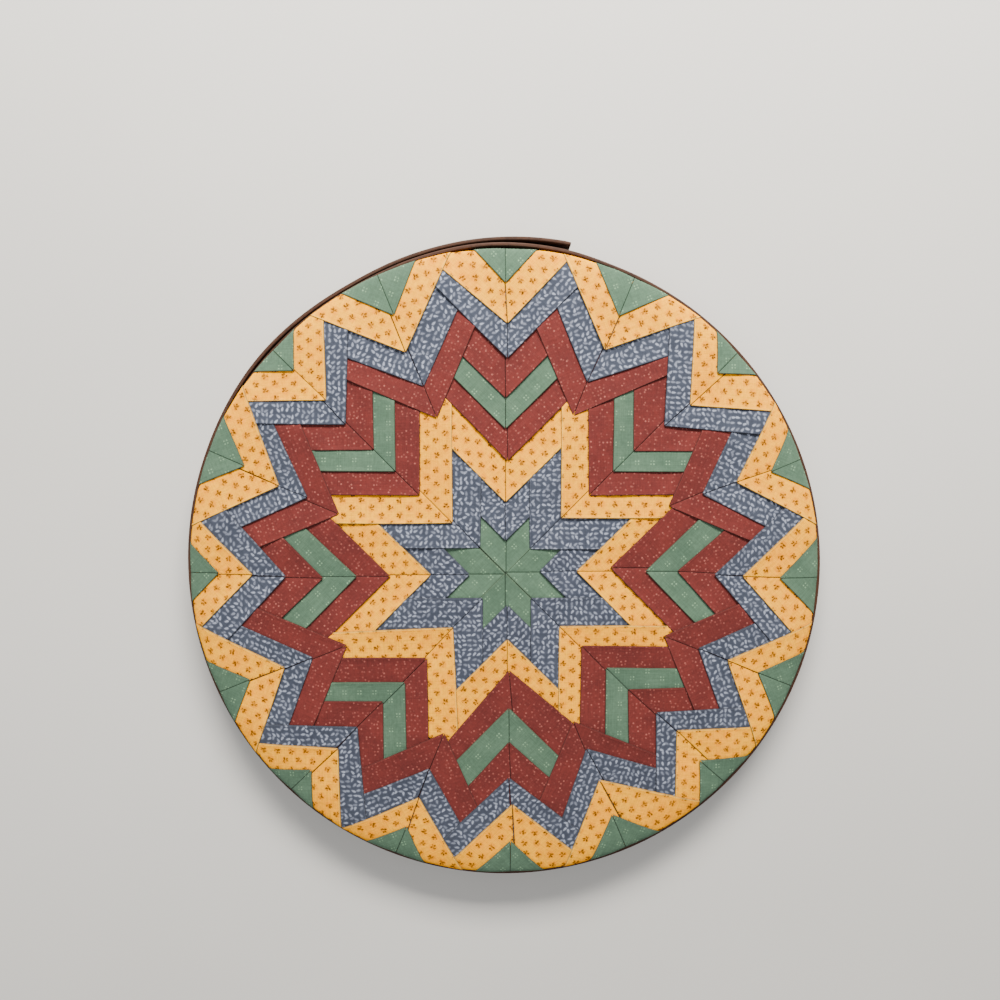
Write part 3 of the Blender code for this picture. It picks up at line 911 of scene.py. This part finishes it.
def wood(name, dark, light, edge, grain_length, roughness, edge_share):
    """Bentwood with its grain along the strip. The map's U runs along it and V across it."""
    graph = Graph(name)
    vector = graph.uv_mm("grain")[0]
    grain = graph.stretched(vector, 1.0 / grain_length, 1.0)
    streak = graph.noise(grain, 1.1, 5.0, 0.62)
    colour = graph.mix(graph.ramp(graph.noise(grain, 0.25), 0.3, 0.7), dark, light)
    colour = graph.shaded(colour, graph.ramp(streak, 0.3, 0.72, 0.55, 1.25))
    pore = graph.ramp(graph.noise(grain, 4.0, 1.0), 0.66, 0.74, 0.0, 0.55)
    colour = graph.mix(pore, colour, (*(part * 0.35 for part in dark[:3]), 1.0))
    scuff = graph.ramp(graph.noise(vector, 0.35, 3.0), 0.35, 0.6, 0.25, edge_share)
    return graph.surface({
        "Base Color": graph.mix(scuff, colour, edge),
        "Roughness": graph.ramp(streak, 0.3, 0.7, roughness + 0.1, roughness - 0.08),
        "Specular IOR Level": 0.25,
        "Normal": graph.bump(streak, 0.00025, 0.6),
    })


# The foundation cloth lies flat across the hoop, with slack ripples, rolls over its edge and runs
# down its side to a frayed lower edge
MUSLIN_LEVEL = 15.0 * MM
MUSLIN_FLAT_RADIUS = 171.0 * MM
MUSLIN_SIDE_RADIUS = HOOP_RADIUS + 0.45 * MM
MUSLIN_ROLL_DROP = 2.4 * MM
MUSLIN_SIDE_LEVELS_MM = (9.0, 5.5, 3.0, 1.6)
MUSLIN_RINGS = 22
MUSLIN_ROLL_ROWS = 8
MUSLIN_COLUMNS = 240
RIPPLE = 0.12 * MM
FRAY = 0.25 * MM
FRAY_BELOW = 2.0 * MM


def muslin_profile():
    """Radius, level and distance over the cloth, from its middle to its lower edge."""
    profile = []
    for i in range(MUSLIN_RINGS + 1):
        radius = MUSLIN_FLAT_RADIUS * i / MUSLIN_RINGS
        profile.append((radius, MUSLIN_LEVEL, radius))
    length = MUSLIN_FLAT_RADIUS
    previous = (MUSLIN_FLAT_RADIUS, MUSLIN_LEVEL)
    shoulder = MUSLIN_SIDE_RADIUS - MUSLIN_FLAT_RADIUS
    for i in range(1, MUSLIN_ROLL_ROWS + 1):
        t = math.pi / 2 * i / MUSLIN_ROLL_ROWS
        radius = MUSLIN_FLAT_RADIUS + shoulder * math.sin(t)
        here = (radius, MUSLIN_LEVEL - MUSLIN_ROLL_DROP * (1.0 - math.cos(t)))
        length += math.dist(previous, here)
        profile.append((*here, length))
        previous = here
    for level in MUSLIN_SIDE_LEVELS_MM:
        length += previous[1] - level * MM
        previous = (MUSLIN_SIDE_RADIUS, level * MM)
        profile.append((*previous, length))
    return profile


def build_foundation(material):
    points = []
    uvs = []
    rows = []
    profile = muslin_profile()
    for radius, level, run in profile:
        row = []
        for i in range(MUSLIN_COLUMNS + 1):
            angle = math.tau * (i % MUSLIN_COLUMNS) / MUSLIN_COLUMNS
            rise = 0.0
            if run <= MUSLIN_FLAT_RADIUS:
                rise = RIPPLE * math.sin(5 * angle + radius * 160) * math.sin(radius * 420)
            elif level < FRAY_BELOW:
                rise = FRAY * math.sin(37 * angle) * math.sin(11 * angle)
            x, y = math.cos(angle), math.sin(angle)
            row.append(len(points))
            points.append((CENTRE.x + radius * x, CENTRE.y + radius * y, level + rise))
            uvs.append((0.5 + run * x, 0.5 + run * y))
        rows.append(row)
    maps = {"cloth": np.array(uvs)}
    item = add_mesh("foundation_cloth", points, grid_faces(rows), maps, material)
    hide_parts("foundation")


# Wood

# The band's outer radius, by the angle from +X that the strip has reached on its way round,
# anticlockwise. Its inner end is pared thin under the lap.
BandStation = namedtuple("BandStation", "turn_deg outer_mm")
BAND_STATIONS = (
    BandStation(78.6, 187.0),
    BandStation(91.0, 186.2),
    BandStation(106.0, 184.2),
    BandStation(120.0, 182.4),
    BandStation(138.0, 183.0),
    BandStation(160.0, 181.4),
    BandStation(180.0, 180.5),
    BandStation(204.0, 180.0),
    BandStation(360.0, 180.1),
    BandStation(392.0, 180.0),
    BandStation(416.0, 180.5),
    BandStation(430.0, 181.1),
    BandStation(440.0, 182.6),
    BandStation(452.0, 183.2),
    BandStation(466.0, 181.7),
    BandStation(480.0, 180.0),
    BandStation(508.0, 179.95),
)
FEATHER_START_DEG = 486.0


def band_outer_radius(turn_deg):
    """Outer radius of the strip, smooth through its stations."""
    rows = BAND_STATIONS
    last = len(rows) - 2
    index = next((i for i in range(last) if turn_deg <= rows[i + 1].turn_deg), last)
    left, right = rows[index], rows[index + 1]
    span = right.turn_deg - left.turn_deg

    def rise(here, there):
        return (there.outer_mm - here.outer_mm) / (there.turn_deg - here.turn_deg)

    def slope(i):
        if i == 0 or i == len(rows) - 1:
            return 0.0
        before = rise(rows[i - 1], rows[i])
        after = rise(rows[i], rows[i + 1])
        if before * after <= 0.0:
            return 0.0
        return 2.0 * before * after / (before + after)

    t = (turn_deg - left.turn_deg) / span
    radius = (
        (2 * t ** 3 - 3 * t ** 2 + 1) * left.outer_mm
        + (t ** 3 - 2 * t ** 2 + t) * span * slope(index)
        + (-2 * t ** 3 + 3 * t ** 2) * right.outer_mm
        + (t ** 3 - t ** 2) * span * slope(index + 1)
    )
    return radius * MM


def band_thickness(turn_deg):
    end = BAND_STATIONS[-1].turn_deg
    share = max(0.0, (turn_deg - FEATHER_START_DEG) / (end - FEATHER_START_DEG))
    return BAND_PLY + share * (BAND_TIP_PLY - BAND_PLY)


# Sections with eased edges, and how finely the wood is divided
CORNER_STEPS = 3
BAND_EASE = 0.45 * MM
BAND_EASE_SHARE = 0.3
HOOP_EASE = 0.7 * MM
BAND_ROWS = 430
HOOP_ROWS = 288
SHARP_DEG = 50.0

# The band's two ends are drawn in a little, across and up
END_ACROSS = 0.8
END_UP = 0.985

# Its front edge is a little uneven: height, rate and phase of each wave
WOBBLES = ((0.05 * MM, 3.1, 0.0), (0.03 * MM, 11.0, 1.0))


def rounded_section(width, height, ease):
    """Corners of an upright rectangle with eased edges, as (across, up) going round."""
    section = []
    for corner_x, corner_y, start in (
        (width - ease, height - ease, 0.0),
        (ease, height - ease, 90.0),
        (ease, ease, 180.0),
        (width - ease, ease, 270.0),
    ):
        for i in range(CORNER_STEPS + 1):
            angle = math.radians(start + 90.0 * i / CORNER_STEPS)
            across = corner_x + ease * math.cos(angle)
            section.append((across, corner_y + ease * math.sin(angle)))
    return section


def girths(section):
    """How far round a section each of its corners is."""
    total = 0.0
    rows = []
    for here, last in zip(section, section[-1:] + section[:-1]):
        total += math.dist(here, last)
        rows.append(total)
    return rows


def ring_faces(rows):
    """Quads round a strip, between neighbouring rows of vertex numbers."""
    faces = []
    for low_row, high_row in zip(rows, rows[1:]):
        for i in range(len(low_row)):
            j = (i + 1) % len(low_row)
            faces.append((low_row[i], high_row[i], high_row[j], low_row[j]))
    return faces


def add_wood(name, points, faces, uvs, material):
    """A wooden piece with crisp edges, in the row frame."""
    mesh = bpy.data.meshes.new(name)
    mesh.from_pydata(points, [], faces)
    add_map(mesh, "grain", uvs)
    shape = bmesh.new()
    shape.from_mesh(mesh)
    bmesh.ops.remove_doubles(shape, verts=shape.verts, dist=1e-7)
    bmesh.ops.recalc_face_normals(shape, faces=shape.faces)
    shape.to_mesh(mesh)
    shape.free()
    mesh.shade_smooth()
    mesh.set_sharp_from_angle(angle=math.radians(SHARP_DEG))
    mesh.materials.append(material)
    item = add_item(name, mesh)
    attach(item, "root")
    return item


def build_band(material):
    """The thin strip from its free blunt end once round and on below its own lap."""
    start = BAND_STATIONS[0].turn_deg
    end = BAND_STATIONS[-1].turn_deg
    points = []
    uvs = []
    rows = []
    for k in range(BAND_ROWS + 1):
        turn = start + (end - start) * k / BAND_ROWS
        outer = band_outer_radius(turn)
        ply = band_thickness(turn)
        angle = math.radians(turn)
        run = outer * math.radians(turn - start)
        wobble = sum(size * math.sin(rate * angle + phase) for size, rate, phase in WOBBLES)
        section = rounded_section(ply, BAND_DEPTH, min(BAND_EASE, ply * BAND_EASE_SHARE))
        row = []
        for (across, up), girth in zip(section, girths(section)):
            if k in (0, BAND_ROWS):
                across = ply / 2 + (across - ply / 2) * END_ACROSS
                up = BAND_DEPTH / 2 + (up - BAND_DEPTH / 2) * END_UP
            radius = outer - ply + across
            level = up + (wobble * up / BAND_DEPTH if up > BAND_DEPTH / 2 else 0.0)
            x, y = radius * math.cos(angle), radius * math.sin(angle)
            row.append(len(points))
            points.append((CENTRE.x + x, CENTRE.y + y, level))
            uvs.append((run, girth))
        rows.append(row)
    faces = [tuple(rows[0]), *ring_faces(rows), tuple(reversed(rows[-1]))]
    item = add_wood("outer_band_wood", points, faces, uvs, material)
    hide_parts("outer_band")


def build_inner_hoop(material):
    section = rounded_section(HOOP_RADIUS - HOOP_INNER_RADIUS, HOOP_TOP, HOOP_EASE)
    points = []
    uvs = []
    rows = []
    for k in range(HOOP_ROWS + 1):
        angle = math.tau * (k % HOOP_ROWS) / HOOP_ROWS
        run = HOOP_RADIUS * math.tau * k / HOOP_ROWS
        row = []
        for (across, up), girth in zip(section, girths(section)):
            radius = HOOP_INNER_RADIUS + across
            x, y = radius * math.cos(angle), radius * math.sin(angle)
            row.append(len(points))
            points.append((CENTRE.x + x, CENTRE.y + y, up))
            uvs.append((run, girth))
        rows.append(row)
    item = add_wood("inner_hoop_wood", points, ring_faces(rows), uvs, material)
    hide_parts("inner_hoop")


# Stage

FLOOR_HALF = 4.0


def area_light(name, location, size_x, size_y, power, colour):
    """A soft light that points at the middle of the floor."""
    lamp = bpy.data.lights.new(name, "AREA")
    lamp.shape = "RECTANGLE"
    lamp.size = size_x
    lamp.size_y = size_y
    lamp.energy = power
    lamp.color = colour
    item = add_item(name, lamp)
    item.location = location
    item.rotation_euler = (-item.location).to_track_quat("-Z", "Y").to_euler()


def build_stage():
    graph = Graph("floor_paper")
    position = graph.node("ShaderNodeNewGeometry").outputs["Position"]
    tone = graph.ramp(graph.noise(position, 3.0, 3.0), 0.3, 0.7)
    paper = graph.surface({
        "Base Color": graph.mix(tone, rgb(206, 203, 197), rgb(201, 198, 192)),
        "Roughness": 0.9,
    })
    corners = ((-1, -1), (1, -1), (1, 1), (-1, 1))
    points = [(FLOOR_HALF * x, FLOOR_HALF * y, 0.0) for x, y in corners]
    mesh = bpy.data.meshes.new("floor")
    mesh.from_pydata(points, [], [(0, 1, 2, 3)])
    mesh.materials.append(paper)
    floor = add_item("floor", mesh)

    area_light("key_light", (0.1, 1.12, 0.62), 0.9, 0.3, 64.0, (1.0, 0.97, 0.92))
    area_light("fill_light", (-0.5, -0.4, 1.5), 1.6, 1.6, 10.0, (0.98, 0.98, 1.0))
    world = bpy.data.worlds.new("studio")
    world.use_nodes = True
    background = world.node_tree.nodes["Background"]
    background.inputs["Color"].default_value = (0.95, 0.97, 1.0, 1.0)
    background.inputs["Strength"].default_value = 0.42
    bpy.context.scene.world = world


# Where the photograph was taken from, from the middle of the face
CAMERA_OFFSET = Vector((-2.5, 71.5, 423.3)) * MM
CAMERA_FORWARD = Vector((0.0, -0.0732, -0.9973))
CAMERA_UP = Vector((0.0, 0.9973, -0.0732))
CAMERA_LENS = 27.18
CAMERA_SENSOR = 36.0


def build_camera():
    lens = bpy.data.cameras.new("camera")
    lens.lens = CAMERA_LENS
    lens.sensor_width = CAMERA_SENSOR
    lens.clip_start = 0.01
    back = -CAMERA_FORWARD.normalized()
    right = CAMERA_UP.cross(back).normalized()
    up = back.cross(right)
    turn = Matrix((right, up, back)).transposed().to_4x4()
    place = CENTRE + Vector((0.0, 0.0, FACE)) + CAMERA_OFFSET
    item = add_item("camera", lens)
    item.matrix_world = Matrix.Translation(place) @ turn
    bpy.context.scene.camera = item


def main():
    calicoes = {colour: calico(f"{colour}_calico", dye) for colour, dye in DYES.items()}
    build_foundation(muslin())
    patches = lay_patches()
    for patch in patches:
        build_patch(patch, patches, calicoes[patch.colour])
    build_band(wood(
        "band_stain", rgb(40, 21, 12), rgb(55, 31, 19), rgb(80, 50, 31), 26.0, 0.66, 0.5,
    ))
    build_inner_hoop(wood(
        "hoop_stain", rgb(152, 114, 72), rgb(172, 134, 90), rgb(184, 150, 106), 30.0, 0.6, 0.4,
    ))
    build_stage()
    build_camera()


main()
